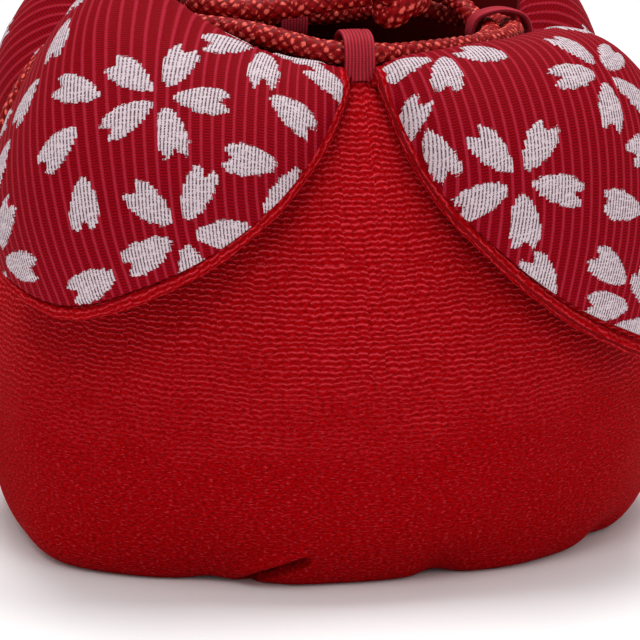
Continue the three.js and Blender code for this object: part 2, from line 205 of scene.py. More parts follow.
def read_table(rows, x, periodic=False):
    """Cubic through the rows of a table, with slopes taken across each row's two neighbours."""
    table = np.array(rows, float)
    keys, values = table[:, 0], table[:, 1:]
    slopes = np.empty_like(values)
    slopes[1:-1] = (values[2:] - values[:-2]) / (keys[2:] - keys[:-2])[:, None]
    slopes[0] = (values[1] - values[0]) / (keys[1] - keys[0])
    slopes[-1] = (values[-1] - values[-2]) / (keys[-1] - keys[-2])
    if periodic:
        slopes[0] = slopes[-1] = (values[1] - values[-2]) / (keys[1] - keys[0] + keys[-1] - keys[-2])
    x = np.clip(x, keys[0], keys[-1])
    i = np.clip(np.searchsorted(keys, x, "right") - 1, 0, len(keys) - 2)
    step = (keys[i + 1] - keys[i])[..., None]
    t = (x - keys[i])[..., None] / step
    return hermite(values[i], values[i + 1], slopes[i] * step, slopes[i + 1] * step, t)


def hermite(start, end, start_slope, end_slope, t):
    """Cubic from start to end with the given slopes over a stretch of length 1."""
    return ((2 * t**3 - 3 * t**2 + 1) * start + (t**3 - 2 * t**2 + t) * start_slope
            + (3 * t**2 - 2 * t**3) * end + (t**3 - t**2) * end_slope)


def spline(knots, places):
    """Centripetal Catmull-Rom curve through knots (..., count, axes) at places from 0 to count - 1.

    Each stretch is a cubic whose end slopes weigh the stretches beside it by the roots of their lengths.
    """
    first = 2 * knots[..., :1, :] - knots[..., 1:2, :]
    last = 2 * knots[..., -1:, :] - knots[..., -2:-1, :]
    full = np.concatenate((first, knots, last), axis=-2)
    steps = np.diff(full, axis=-2)
    gaps = np.sqrt(np.linalg.norm(steps, axis=-1, keepdims=True))
    before, after = gaps[..., :-1, :], gaps[..., 1:, :]
    slopes = (steps[..., :-1, :] / before + steps[..., 1:, :] / after
              - (full[..., 2:, :] - full[..., :-2, :]) / (before + after))
    i = np.clip(places.astype(int), 0, knots.shape[-2] - 2)
    t = (places - i)[:, None]
    width = gaps[..., 1:-1, :][..., i, :]
    return hermite(knots[..., i, :], knots[..., i + 1, :],
                   slopes[..., i, :] * width, slopes[..., i + 1, :] * width, t)


def along(points):
    """Length run so far at each point of a line, or of each line in a stack."""
    steps = np.linalg.norm(np.diff(points, axis=-2), axis=-1)
    zero = np.zeros(steps.shape[:-1] + (1,))
    return np.concatenate((zero, np.cumsum(steps, axis=-1)), axis=-1)


def even_line(knots, step):
    """The spline through the knots, set out again in equal steps."""
    fine = spline(np.array(knots, float), np.linspace(0, len(knots) - 1, 40 * len(knots)))
    return respaced(fine, int(round(along(fine)[-1] / step)) + 1)


def respaced(line, count):
    """The same line, through a count of points an equal run apart."""
    run = along(line)
    marks = np.linspace(0, run[-1], count)
    return np.stack([np.interp(marks, run, line[:, axis]) for axis in range(3)], axis=-1)


# -------- the pouch's shape
def petal_weight(azimuth):
    """0 at a notch, 1 under a petal's middle: the squared sine of the quarter turn, to the power 0.6."""
    return (np.sin(pi * ((azimuth - NOTCHES[1]) % QUARTER) / QUARTER) ** 2) ** 0.6


def petal_row(azimuth):
    """Crest, edge, overhang and hang of the petal over each azimuth, as six columns."""
    rows = np.empty(azimuth.shape + (6,))
    for start, table in PETALS.values():
        turn = (azimuth - start) % 360
        here = turn < QUARTER
        rows[here] = read_table(table, start + np.clip(turn[here], NOTCH_HALF, QUARTER - NOTCH_HALF))
    return rows


def fold_foot(azimuth, rows):
    """Where the wall ends and the mouth's fold begins, a little below and outside of the crest."""
    w = petal_weight(azimuth)
    return np.stack((rows[:, 0] - 0.2 - 0.6 * w, rows[:, 1] - mix(*FOLD_RISE, w)), axis=-1)


def body_section(azimuth, places):
    """Radius and height of the body: base, corner, belly and shoulder, as one spline per azimuth."""
    corner = read_table(BASE_OUTLINE, (azimuth + 180) % 360 - 180, periodic=True)
    w = petal_weight(azimuth)[:, None, None]
    wall = mix(np.array(WALL_NOTCH, float), np.array(WALL_PETAL, float), w)
    wall[:, 0, 0] = mix(wall[:, 0, 0], corner[:, 0] + 2.5, 0.55)
    wall[:, 1, 0] = mix(wall[:, 1, 0], corner[:, 0] + 4.5, 0.25)
    zero = np.zeros_like(corner)
    base = np.stack([np.concatenate(pair, axis=-1) for pair in (
        (zero, zero), (corner * 0.45, zero), (corner - BASE_INSET, zero), (corner - 4, zero + 1.3),
        (corner - 0.3, zero + 5.5))], axis=1)
    rows = petal_row(azimuth)
    foot = fold_foot(azimuth, rows)[:, None]
    lead = petal_section(azimuth, np.array([0.1]))
    knots = np.concatenate((base, wall, foot, lead), axis=1)
    knots[..., 1] = np.maximum(knots[..., 1], -CREPE_FACE)
    return spline(knots, places)


def petal_section(azimuth, steps):
    """Radius and height of the petal: a cubic roll over the crest, or a short rim at a notch."""
    rows = petal_row(azimuth)
    crest_z, edge_r, edge_z, over, hang = rows[:, 1:].T
    w = petal_weight(azimuth)
    foot = fold_foot(azimuth, rows)
    drop = crest_z - edge_z
    shoulder_z = edge_z + hang * drop + 40 * np.maximum(hang - 0.9, 0)
    second, third, final = QUARTER_WEIGHTS
    rise = crest_z - foot[:, 1] + (third * (crest_z - shoulder_z) + final * drop) / second
    controls = np.stack((
        foot, np.stack((foot[:, 0] - 0.8 - 1.2 * w, crest_z + rise), axis=-1),
        np.stack((edge_r + over, shoulder_z), axis=-1), np.stack((edge_r, edge_z), axis=-1)), axis=1)
    t = steps[:, None]
    weights = np.concatenate(((1 - t) ** 3, 3 * t * (1 - t) ** 2, 3 * t * t * (1 - t), t**3), axis=1)
    rolled = np.einsum("mk,nkd->nmd", weights, controls)
    nearest = np.abs((azimuth - NOTCHES[0] + QUARTER / 2) % QUARTER - QUARTER / 2)
    open_part = ease(nearest, 1.2, NOTCH_HALF)[:, None, None]
    rim = foot[:, None] + np.array(RIM) * t
    return mix(rim, rolled, open_part)


def soft_dents(azimuth, line):
    """Slow swells of the cloth: sums of sines in azimuth and height, and folds below each notch."""
    turn, z = np.radians(azimuth)[:, None], line[..., 1]
    swell = (0.45 * np.sin(5 * turn + z / 17) + 0.35 * np.sin(9 * turn - z / 11 + 1.3)
             + 0.25 * np.sin(14 * turn + z / 8 + 0.4))
    spread = np.exp(-(np.maximum(90 - z, 0) / 22) ** 2)
    pull = 0.5 * np.cos(28 * turn - radians(28 * NOTCHES[0])) * spread
    return (swell + pull) * ease(z, 6, 26) * (1 - 0.75 * ease(z, 84, 91))


def base_tuck(azimuth, line):
    """A small tuck at the front of the base, as shifts in radius and height.

    A crease climbs to the right from the floor to a sharp end. The cloth above it stands proud as a lip, the
    crease itself is drawn in, and the cloth below it keeps its place. Left of the crease the edge lifts a
    little. Shallow swells and lifts further round keep the base's edge uneven.
    """
    from_left = (azimuth - CREASE_START) / CREASE_RUN
    crease = 0.6 + 6.4 * np.clip(from_left, 0, 1)[:, None]
    window = (ease(from_left, -0.05, 0.25) * (1 - ease(from_left, 0.9, 1.02)))[:, None]
    radius, height = line[..., 0], line[..., 1]
    rim = ease(radius, 38, 54)
    lip = np.exp(-((height - crease - 1.7) / 1.5) ** 2)
    slit = np.exp(-((height - crease) / 0.85) ** 2)
    outward = window * (1.6 * lip - 4.0 * slit) * rim
    lift = 0 * height
    for middle, half, out, up in BASE_SWELLS:
        near = np.exp(-((azimuth - middle) / half) ** 2)[:, None] * rim * np.exp(-((height - 2.5) / 4) ** 2)
        outward, lift = outward + out * near, lift + up * near
    return np.stack((outward, lift), axis=-1)


def cloth_middle(azimuth, places, steps):
    """Middle of the folded cloth from the base's centre to the free edge, and the way to its inner side."""
    line = np.concatenate((body_section(azimuth, places), petal_section(azimuth, steps)), axis=1)
    tangent = np.empty_like(line)
    tangent[:, 1:-1] = line[:, 2:] - line[:, :-2]
    tangent[:, -1] = line[:, -1] - line[:, -2]
    tangent[:, 0] = (1, 0)
    tangent /= np.linalg.norm(tangent, axis=-1, keepdims=True)
    inward = np.stack((-tangent[..., 1], tangent[..., 0]), axis=-1)
    line = line - inward * (soft_dents(azimuth, line) * body_only(line, len(places)))[..., None]
    line = line + base_tuck((azimuth + 180) % 360 - 180, line) * body_only(line, len(places))[:, None]
    line[..., 0] = np.maximum(line[..., 0], 0)
    return line, inward


def body_only(line, count):
    """1 over the body's rows, easing to 0 over its last rows, and 0 over the petal's."""
    part = np.zeros(line.shape[1])
    part[:count] = 1 - ease(np.arange(count) / count, 0.8, 1.0)
    return part


def placed(azimuth, line):
    """Turn radius and height into places in metres."""
    turn = np.radians(azimuth)[:, None]
    radius, height = line[..., 0], np.maximum(line[..., 1], 0)
    return np.stack((radius * np.cos(turn), radius * np.sin(turn), height), axis=-1) * MM


def grid_quads(ids, wrap):
    """Faces over a grid of vertex numbers (columns, rows), joined round when wrap is set."""
    after = np.roll(ids, -1, axis=0) if wrap else ids[1:]
    before = ids if wrap else ids[:-1]
    return np.stack((before[:, :-1], after[:, :-1], after[:, 1:], before[:, 1:]), axis=-1).reshape(-1, 4)


def shell(outer, inner, wrap=False, pole=False):
    """A closed cloth: two grids (columns, rows, 3) laid out alike, joined along their free edges."""
    columns, rows = outer.shape[:2]
    ids = np.arange(2 * columns * rows).reshape(2, columns, rows)
    faces = [grid_quads(ids[0], wrap), grid_quads(ids[1], wrap)[:, ::-1]]
    rim = np.stack((ids[0][:, -1], ids[1][:, -1]), axis=-1)
    faces.append(grid_quads(rim, wrap))
    if not pole:
        faces.append(grid_quads(np.stack((ids[1][:, 0], ids[0][:, 0]), axis=-1), wrap))
    if not wrap:
        faces.append(grid_quads(np.stack((ids[0][0], ids[1][0]), axis=-1), False))
        faces.append(grid_quads(np.stack((ids[1][-1], ids[0][-1]), axis=-1), False))
    quads = np.concatenate(faces)
    if pole:
        for side in ids:
            quads[np.isin(quads, side[:, 0])] = side[0, 0]
    return np.concatenate((outer.reshape(-1, 3), inner.reshape(-1, 3))), quads


def tube(line, section, ups=None):
    """A closed tube: a section of (rings, sides, 2) offsets, carried along the line with little twist."""
    rings = len(line)
    tangent = np.gradient(line, axis=0)
    tangent /= np.linalg.norm(tangent, axis=1, keepdims=True)
    if ups is None:
        ups = steady_sides(tangent)
    sides_way = np.cross(tangent, ups)
    points = line[:, None] + section[..., :1] * ups[:, None] + section[..., 1:] * sides_way[:, None]
    count = section.shape[1]
    ids = np.arange(rings * count).reshape(rings, count)
    quads = grid_quads(ids.T, True)
    ends = np.array([line[0], line[-1]])
    first, last = rings * count, rings * count + 1
    around = np.roll(ids, -1, axis=1)
    start_fan = np.stack((around[0], ids[0], np.full(count, first), np.full(count, first)), axis=-1)
    end_fan = np.stack((ids[-1], around[-1], np.full(count, last), np.full(count, last)), axis=-1)
    faces = np.concatenate((quads[:, ::-1], start_fan[:, ::-1], end_fan[:, ::-1]))
    return np.concatenate((points.reshape(-1, 3), ends)) * MM, faces


def ring(reach, turn):
    """Offsets of a round section, from its reach at each turn."""
    return np.stack((reach * np.cos(turn), reach * np.sin(turn)), axis=-1)


def with_ends(x, y, z):
    """Three numbers for each vertex of a tube, and zeros for the two in the middle of its ends."""
    marks = np.stack(np.broadcast_arrays(x, y, z), axis=-1).reshape(-1, 3)
    return np.concatenate((marks, np.zeros((2, 3))))


def steady_sides(tangent):
    """A side direction for each ring, turned from ring to ring only as far as the line bends."""
    side = np.cross(tangent[0], (0.3, 0.5, 0.8))
    sides = np.empty_like(tangent)
    for ring, way in enumerate(tangent):
        side = side - way * side.dot(way)
        side /= np.linalg.norm(side)
        sides[ring] = side
    return sides


def unrolled(values, starts, counts):
    """Each corner's grain, with a face's low side moved on by a turn where it straddles the turn's start."""
    turn = 2 * pi * GRAIN_RADIUS
    high = np.repeat(np.maximum.reduceat(values[:, 0], starts), counts)
    values[values[:, 0] < high - turn / 2, 0] += turn
    return values


def add_piece(name, points, quads, finish, nodes=(), attributes=None, round_grain=None):
    """Make one mesh object, drop the doubled corners of pole faces, give it its finish, parent it to its
    body and hide the imported parts listed in nodes.

    round_grain is the grain of a cloth that goes once round the pouch, which is kept on the faces' corners.
    """
    repeat = quads == np.roll(quads, -1, axis=1)
    keep = (~repeat).sum(axis=1)
    corners = quads[~repeat & (keep >= 3)[:, None]]
    sizes = keep[keep >= 3]
    used = np.unique(corners)
    order = np.full(len(points), -1)
    order[used] = np.arange(len(used))
    mesh = bpy.data.meshes.new(name)
    mesh.vertices.add(len(used))
    mesh.vertices.foreach_set("co", points[used].ravel())
    mesh.loops.add(len(corners))
    mesh.loops.foreach_set("vertex_index", order[corners])
    mesh.polygons.add(len(sizes))
    starts = np.concatenate(((0,), np.cumsum(sizes)[:-1]))
    mesh.polygons.foreach_set("loop_start", starts)
    mesh.update(calc_edges=True)
    if mesh.validate():
        raise RuntimeError(f"{name}: its faces don't make a sound mesh")
    for title, values in (attributes or {}).items():
        data = mesh.attributes.new(title, "FLOAT_VECTOR", "POINT")
        data.data.foreach_set("vector", values[used].astype(np.float32).ravel())
    if round_grain is not None:
        data = mesh.attributes.new("grain", "FLOAT_VECTOR", "CORNER")
        values = unrolled(round_grain[corners], starts, sizes)
        data.data.foreach_set("vector", values.astype(np.float32).ravel())
    mesh.shade_smooth()
    mesh.materials.append(finish)
    piece = bpy.data.objects.new(name, mesh)
    bpy.context.scene.collection.objects.link(piece)
    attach(piece, BODY)
    if nodes:
        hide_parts(*nodes)
    return piece


# -------- shader sums
class Value:
    """A shader socket that takes part in sums: each operator or method set below adds one Math node."""

    def __init__(self, tree, socket):
        self.tree, self.socket = tree, socket

    def math(self, operation, *others):
        node = self.tree.nodes.new("ShaderNodeMath")
        node.operation = operation
        for slot, item in zip(node.inputs, (self, *others)):
            plug(self.tree, slot, item)
        return Value(self.tree, node.outputs[0])

    def __rsub__(self, other):
        return (self * -1) + other


for method, operation in (
        ("__add__", "ADD"), ("__radd__", "ADD"), ("__sub__", "SUBTRACT"), ("__mul__", "MULTIPLY"),
        ("__rmul__", "MULTIPLY"), ("__truediv__", "DIVIDE"), ("abs", "ABSOLUTE"), ("fraction", "FRACT"),
        ("floor", "FLOOR"), ("power", "POWER")):
    setattr(Value, method, partialmethod(Value.math, operation))


def plug(tree, slot, item):
    """Link a socket, or set a plain value."""
    if isinstance(item, Value):
        tree.links.new(item.socket, slot)
    else:
        slot.default_value = item


class Finish:
    """One material, with the few node recipes that all of the cloths share."""

    def __init__(self, name, roughness, specular):
        self.material = bpy.data.materials.new(name)
        self.material.use_nodes = True
        self.tree = self.material.node_tree
        self.shader = self.tree.nodes["Principled BSDF"]
        self.shader.inputs["Roughness"].default_value = roughness
        self.shader.inputs["Specular IOR Level"].default_value = specular

    def node(self, kind, settings=None, sockets=None, out=0):
        """Add any node: its settings first, then its sockets' values or links."""
        node = self.tree.nodes.new(kind)
        for key, value in (settings or {}).items():
            setattr(node, key, value)
        for key, value in (sockets or {}).items():
            plug(self.tree, node.inputs[key], value)
        return Value(self.tree, node.outputs[out])

    def attribute(self, name):
        """The three numbers of a vertex attribute."""
        vector = self.node("ShaderNodeAttribute", {"attribute_name": name}, out="Vector")
        return self.split(vector)

    def split(self, vector):
        return [self.node("ShaderNodeSeparateXYZ", sockets={0: vector}, out=i) for i in range(3)]

    def place(self):
        """Object coordinates in millimetres."""
        return [part * (1 / MM) for part in self.split(self.node("ShaderNodeTexCoord", out="Object"))]

    def vector(self, x, y, z=0.0):
        return self.node("ShaderNodeCombineXYZ", sockets={0: x, 1: y, 2: z})

    def noise(self, x, y, z=0.0, detail=1.0):
        """Smooth noise from 0 to 1 with blobs about one unit wide."""
        return self.node("ShaderNodeTexNoise", {"noise_dimensions": "3D"},
                         {"Vector": self.vector(x, y, z), "Scale": 1.0, "Detail": detail})

    def chance(self, x, y):
        """A number from 0 to 1 that is fixed within each whole cell of x and y."""
        return self.node("ShaderNodeTexWhiteNoise", {"noise_dimensions": "2D"},
                         {"Vector": self.vector(x.floor(), y.floor())})

    def ease(self, value, low, high):
        """Smooth step from 0 at low to 1 at high."""
        return self.node("ShaderNodeMapRange", {"interpolation_type": "SMOOTHSTEP"},
                         {"Value": value, "From Min": low, "From Max": high})

    def blend(self, part, first, second):
        """A colour from first to second."""
        return self.node("ShaderNodeMix", {"data_type": "RGBA"}, {0: part, 6: first, 7: second}, out=2)

    def dye(self, colour):
        plug(self.tree, self.shader.inputs["Base Color"], colour)

    def relief(self, height, depth):
        """Bump of the given depth in millimetres for a height from 0 to 1."""
        normal = self.node("ShaderNodeBump", sockets={"Height": height, "Distance": depth * MM})
        plug(self.tree, self.shader.inputs["Normal"], normal)

    def vary_roughness(self, value):
        plug(self.tree, self.shader.inputs["Roughness"], value)


def tint(colour, factor):
    """The same colour, lighter or darker."""
    return tuple(min(1.0, channel * factor) for channel in colour[:3]) + (1.0,)


# -------- user settings
def colour_setting(name, description, default):
    return FloatVectorProperty(name=name, description=description, default=default, subtype="COLOR", size=3,
                               min=0, max=1)


def length_setting(name, description, default):
    return FloatProperty(name=name, description=description, default=default * MM, unit="LENGTH",
                         subtype="DISTANCE", precision=5)


class PouchSizes(bpy.types.PropertyGroup):
    """Sizes of the pouch's fabric and trim."""

    wrinkle: length_setting("Wrinkle pitch", "Spacing of the crepe's wrinkles", 0.98)
    rib: length_setting("Rib pitch", "Spacing of the brocade's ribs", 1.5)
    float_width: length_setting("Float width", "Width of one column of the blossom's threads", 0.5)
    blossom: length_setting("Blossom width", "Width of one whole blossom", BLOSSOM_WIDTH)
    border: length_setting("Border width", "Thickness of the rolled edge round a petal", 2.8)
    tape: length_setting("Tape width", "Width of a cord loop's tape", 5.6)
    cord: length_setting("Cord width", "Diameter of the braided cord", 4.2)


class PouchColours(bpy.types.PropertyGroup):
    """Colours of the pouch's fabric and trim, as linear values."""

    crepe: colour_setting("Crepe", "Body and backs of the petals", (0.30, 0.0002, 0.0014))
    # wrinkle: the painted highlight on the crepe's wrinkle crests and specks
    wrinkle: colour_setting("Wrinkle", "Lit crests of the crepe", (0.68, 0.032, 0.048))
    brocade: colour_setting("Brocade", "Ground of the petals' faces", (0.22, 0.0005, 0.0050))
    # rib: lighter than the ground, partly a painted sheen on the ribs
    rib: colour_setting("Rib", "Raised ribs of the brocade", (0.52, 0.026, 0.056))
    blossom: colour_setting("Blossom", "Silver-white floats of the motif", (0.68, 0.56, 0.60))
    lining: colour_setting("Lining", "Inside of the pouch", (0.10, 0.002, 0.003))
    tape: colour_setting("Tape", "Cord loops", (0.46, 0.022, 0.04))
    cord: colour_setting("Cord", "Braided cords", (0.27, 0.002, 0.004))
    fleck: colour_setting("Fleck", "Glint of the braid's strands", (0.84, 0.13, 0.095))
    floor: colour_setting("Floor", "Stage under the pouch", (0.96, 0.955, 0.96))


def sizes():
    return bpy.context.scene.pouch_sizes


def rgb(name):
    return tuple(getattr(bpy.context.scene.pouch_colours, name)) + (1.0,)


# -------- finishes
def crepe_finish():
    """Crinkled crepe: wavy, broken cross wrinkles over a fine pebble, calmer low on the body. The wrinkles'
    crests and the specks low on the body carry a painted highlight that is strongest high on the body, and
    the pebble is painted darker in its hollows and lighter on its tops as painted shade.
    """
    made = bpy.data.materials.get("chirimen crepe")
    if made:
        return made
    finish = Finish("chirimen crepe", 0.85, specular=0.02)
    pitch = sizes().wrinkle / MM
    x, y, _ = finish.attribute("grain")
    _, _, z = finish.place()
    # each narrow column of wrinkles has its own small shift, so the lines break into short arcs
    strip = (x + (finish.noise(x / 4, y / 2.4, 2.0) - 0.5) * 3) / 1.9
    bow = ((strip.fraction() - 0.5).abs() * 2).power(2.0) * 0.2
    sway = (finish.chance(strip, y / 60) - 0.5) * 0.42 + bow + (finish.noise(x / 8, y / 6, 3.0) - 0.5) * 1.6
    wave = ((y + sway) * (2 * pi / pitch)).math("SINE") * 0.5 + 0.5
    broken = finish.ease(finish.noise(x / 0.9, y / 0.5, 7.0), 0.36, 0.56)
    line = wave.power(3.2) * (broken * 0.85 + 0.15)
    # small bright specks for the low body, shown in the painted highlight colour
    speck = finish.ease(finish.noise(x / 0.9, y / 0.3, 11.0, detail=2.0), 0.53, 0.68)
    pebble = finish.noise(x / 0.7, y / 0.4, 19.0, detail=2.0)
    # 1 high on the body and 0 low, with a ragged edge: it scales the wrinkles' relief and their painted
    # highlight, so the upper body looks more brightly lit
    strong = finish.ease(z + (finish.noise(x / 12, y / 8, 5.0) - 0.5) * 30, 22, 52)
    # crests and specks: their relief, and the mask of the painted highlight in the wrinkle colour
    ridge_and_highlight = line * strong + speck * (1 - strong) * 0.5
    height = ridge_and_highlight * 0.7 + pebble * 0.4
    base = rgb("crepe")
    # painted shade on the pebble: darker in its hollows, lighter on its raised tops
    ground = finish.blend(finish.ease(pebble, 0.28, 0.72), tint(base, 0.6), tint(base, 1.25))
    finish.dye(finish.blend(ridge_and_highlight, ground, rgb("wrinkle")))
    finish.relief(height, 0.3)
    return finish.material


def lining_finish():
    """Plain dark cloth with fine upright striations."""
    finish = Finish("plain lining", 0.7, specular=0.05)
    x, y, _ = finish.attribute("grain")
    streak = finish.noise(x / 0.5, y / 6, detail=2.0)
    base = rgb("lining")
    finish.dye(finish.blend(streak, tint(base, 0.6), tint(base, 1.5)))
    finish.relief(streak, 0.1)
    return finish.material


def brocade_finish():
    """Ribbed ground with cross ticks, and silver-white floats laid in columns wherever the motif stands."""
    made = bpy.data.materials.get("blossom brocade")
    if made:
        return made
    finish = Finish("blossom brocade", 0.65, specular=0.03)
    across, down, motif = finish.attribute("weave")
    slope_across, slope_down, _ = finish.attribute("slope")
    width = sizes().float_width / MM
    column = across / width
    pick = down / FLOAT_PICK + column.floor() * 0.5
    # the motif's edge is read at the middle of each column and pick, so it climbs in small steps
    stepped = (motif - slope_across * (column.fraction() - 0.5) * width
               - slope_down * (pick.fraction() - 0.5) * FLOAT_PICK)
    ragged = (finish.chance(column, down / 1.3) - 0.5) * 0.3
    shown = finish.ease(stepped + ragged, -0.03, 0.03)
    # ribs of the ground, with fine cross ticks between them; the ribs' lighter colour is partly a painted
    # sheen
    turn = (across * (MM / sizes().rib)).fraction() - 0.5
    fuzz = finish.noise(across / 0.4, down / 0.7, detail=2.0)
    line = 1 - finish.ease(turn.abs() + (fuzz - 0.5) * 0.2, 0.07, 0.22)
    tick = finish.ease(((down / GROUND_PICK).fraction() - 0.5).abs() + (fuzz - 0.5) * 0.3, 0.16, 0.36)
    ground = finish.blend(tick * 0.75 + fuzz * 0.3, tint(rgb("brocade"), 0.58), tint(rgb("brocade"), 1.3))
    rib = line * (fuzz * 0.7 + 0.25) * (1 - tick * 0.45)
    cloth = finish.blend(rib, ground, rgb("rib"))
    # floats of the motif: leaning threads with grooves between, broken by dark dashes where they dive
    thread = (across + down * 0.06) / width
    groove = finish.ease((thread.fraction() - 0.5).abs(), 0.2, 0.46)
    dash = finish.ease(finish.noise(thread.floor() * 3.7, down / 0.36, 5.0), 0.42, 0.54)
    silk = finish.noise(across / 0.2, down / 1.6, 3.0)
    shade = groove * (dash * 0.8 + 0.12)
    petal = finish.blend(shade + (1 - silk) * 0.14, rgb("blossom"), (0.10, 0.03, 0.045, 1))
    finish.dye(finish.blend(shown, cloth, petal))
    height = shown * (1 - shade) * 0.9 + (1 - shown) * (line * 0.5 + tick * 0.12)
    finish.relief(height, 0.24)
    finish.vary_roughness(0.66 - shown * 0.18)
    return finish.material


def tape_finish():
    """Crimson tape with ribs along its length, with painted shade in the grooves between the ribs and picks
    and a painted highlight on their tops.
    """
    finish = Finish("ribbed tape", 0.6, specular=0.08)
    across, down, _ = finish.attribute("weave")
    rib = ((across * (2 * pi / TAPE_RIB)).math("COSINE") * 0.5 + 0.5)
    pick = ((down * (2 * pi / 0.4)).math("COSINE") * 0.5 + 0.5)
    base = rgb("tape")
    # painted shade between the ribs and picks, painted highlight on their tops
    finish.dye(finish.blend(rib * (pick * 0.4 + 0.6), tint(base, 0.42), tint(base, 1.25)))
    finish.relief(rib * 0.8 + pick * 0.2, 0.16)
    return finish.material


def cord_finish():
    """Braided cord: painted shade between the strands, red on them, and painted glints where a strand's silk
    faces out.
    """
    made = bpy.data.materials.get("silk braid")
    if made:
        return made
    finish = Finish("silk braid", 0.5, specular=0.08)
    height, run, around = finish.attribute("braid")
    silk = finish.noise(run / 0.4, around * 2.0, detail=2.0)
    lit = finish.ease(finish.noise(run / 1.3, around * 1.4, 4.0), 0.46, 0.58)
    # painted glints on the tops of the strands, in scattered patches
    glint = finish.ease(height + (silk - 0.5) * 0.8, 0.66, 0.86) * lit
    # painted shade: the cord's red falls to a quarter of itself in the valleys between the strands
    body = finish.blend(finish.ease(height, 0.1, 0.8), tint(rgb("cord"), 0.25), rgb("cord"))
    finish.dye(finish.blend(glint, body, rgb("fleck")))
    finish.relief(silk * finish.ease(height, 0.2, 0.7), 0.06)
    return finish.material


def stage_finish():
    """Plain pale stage."""
    finish = Finish("studio floor", 0.9, specular=0.1)
    finish.dye(rgb("floor"))
    return finish.material


# -------- cords and knots
def braid(run, turn, radius):
    """Round braid: two families of strands cross in a chequer, and each strand on top is a rounded fleck.

    Cell numbers are run / pitch plus or minus columns * turn; the height is a dome across the strand on top.
    """
    lean = BRAID_COLUMNS * turn / (2 * pi)
    first, second = run / BRAID_PITCH * 2 + lean, run / BRAID_PITCH * 2 - lean
    over = (np.floor(first) + np.floor(second)) % 2
    a, b = 2 * (first % 1) - 1, 2 * (second % 1) - 1
    width, length = np.where(over > 0, a, b), np.where(over > 0, b, a)
    height = np.sqrt(np.maximum(1 - width**2, 0)) * (1 - 0.45 * length**2)
    return radius - BRAID_VALLEY + BRAID_DOME * height, height


def braided_tube(line, radius):
    """A braided cord along a line in millimetres, and the braid's height, run and turn at each vertex."""
    run = along(line)[:, None]
    turn = np.linspace(0, 2 * pi, BRAID_SIDES, endpoint=False)[None, :]
    reach, height = braid(run, turn, radius)
    points, faces = tube(line, ring(reach, turn))
    return points, faces, with_ends(height, run, turn)


class POUCH_OT_cords(bpy.types.Operator):
    """Lay the two drawcords through the loops, along the routes of their solids"""

    bl_idname = "pouch.cords"
    bl_label = "Drawcords"

    def execute(self, context):
        radius = sizes().cord / MM / 2
        for letter, route in (("a", CORD_A_ROUTE), ("b", CORD_B_ROUTE)):
            first, last = KNOT_ENTRIES[letter]
            line = even_line((first, *route, last), BRAID_STEP)
            points, faces, marks = braided_tube(line, radius)
            cord = add_piece(f"drawcord_{letter}_braid", points, faces, cord_finish(),
                             (f"drawcord_{letter}",), {"braid": marks})
            knot = add_knot(letter, radius)
        return {"FINISHED"}


def knot_line(letter):
    """An overhand knot: (sin t + 2 sin 2t, cos t - 2 cos 2t, -1.15 sin 3t), tilted, turned and placed."""
    t = np.linspace(0.0, 2 * pi, 400)
    loop = np.stack((np.sin(t) + 2 * np.sin(2 * t), np.cos(t) - 2 * np.cos(2 * t), -1.15 * np.sin(3 * t)),
                    axis=-1)
    tilt, yaw = KNOT_TURNS[letter]
    about_x = np.array(((1, 0, 0), (0, cos(tilt), -sin(tilt)), (0, sin(tilt), cos(tilt))))
    about_z = np.array(((cos(yaw), -sin(yaw), 0), (sin(yaw), cos(yaw), 0), (0, 0, 1)))
    return loop @ (about_z @ about_x).T * KNOT_SCALE + np.array(KNOT_PLACES[letter])


def add_knot(letter, radius):
    """One tied knot of braided cord in place of its rounded solid."""
    line = knot_line(letter)
    line = respaced(line, int(along(line)[-1] / BRAID_STEP))
    line[:, 2] = np.maximum(line[:, 2], radius + 0.3)
    points, faces, values = braided_tube(line, radius * KNOT_CORD)
    return add_piece(f"knot_{letter}_tied", points, faces, cord_finish(),
                     (f"knot_{letter}",), {"braid": values})


# -------- cloth pieces
def round_azimuths(per_quarter):
    """Azimuths once round from the front notch, closer together beside each notch."""
    part = np.arange(per_quarter) / per_quarter
    eased = (part - 0.65 * np.sin(2 * pi * part) / (2 * pi)) * QUARTER
    return np.concatenate([start + eased for start in NOTCHES])


def flat_grain(azimuth, line):
    """Grain of the draped cloth: across is the arc round a steady radius, and down follows the height.

    Down is z, less how far the point is inside the base's rim, so the wrinkles lie level all round the body
    and turn into rings under the base.
    """
    radius, height = line[..., 0], line[..., 1]
    inside = (np.minimum(radius, GRAIN_RIM) - GRAIN_RIM) * (1 - ease(height, 20, 30))
    across = np.radians(azimuth)[:, None] * GRAIN_RADIUS + 0 * height
    return np.stack((across, height + inside, np.zeros_like(height)), axis=-1)


class POUCH_OT_cloth(bpy.types.Operator):
    """Drape the crepe: base, body, mouth fold and the backs of the petals, as one cloth"""

    bl_idname = "pouch.cloth"
    bl_label = "Crepe body"

    def execute(self, context):
        azimuth = round_azimuths(100)
        places = np.concatenate((np.linspace(0, 2, 4), np.linspace(2.08, 4.92, 34),
                                 np.linspace(5, KNOT_STEPS, 48)))
        steps = np.linspace(0.02, 0.99, 36)
        line, inward = cloth_middle(azimuth, places, steps)
        outer = placed(azimuth, line + inward * CREPE_FACE)
        inner = placed(azimuth, line + inward * CREPE_BACK)
        grain = flat_grain(azimuth, line).reshape(-1, 3)
        points, faces = shell(outer, inner, wrap=True, pole=True)
        add_piece("crepe_body", points, faces, crepe_finish(), ("outer_cloth",),
                  round_grain=np.concatenate((grain, grain)))
        return {"FINISHED"}


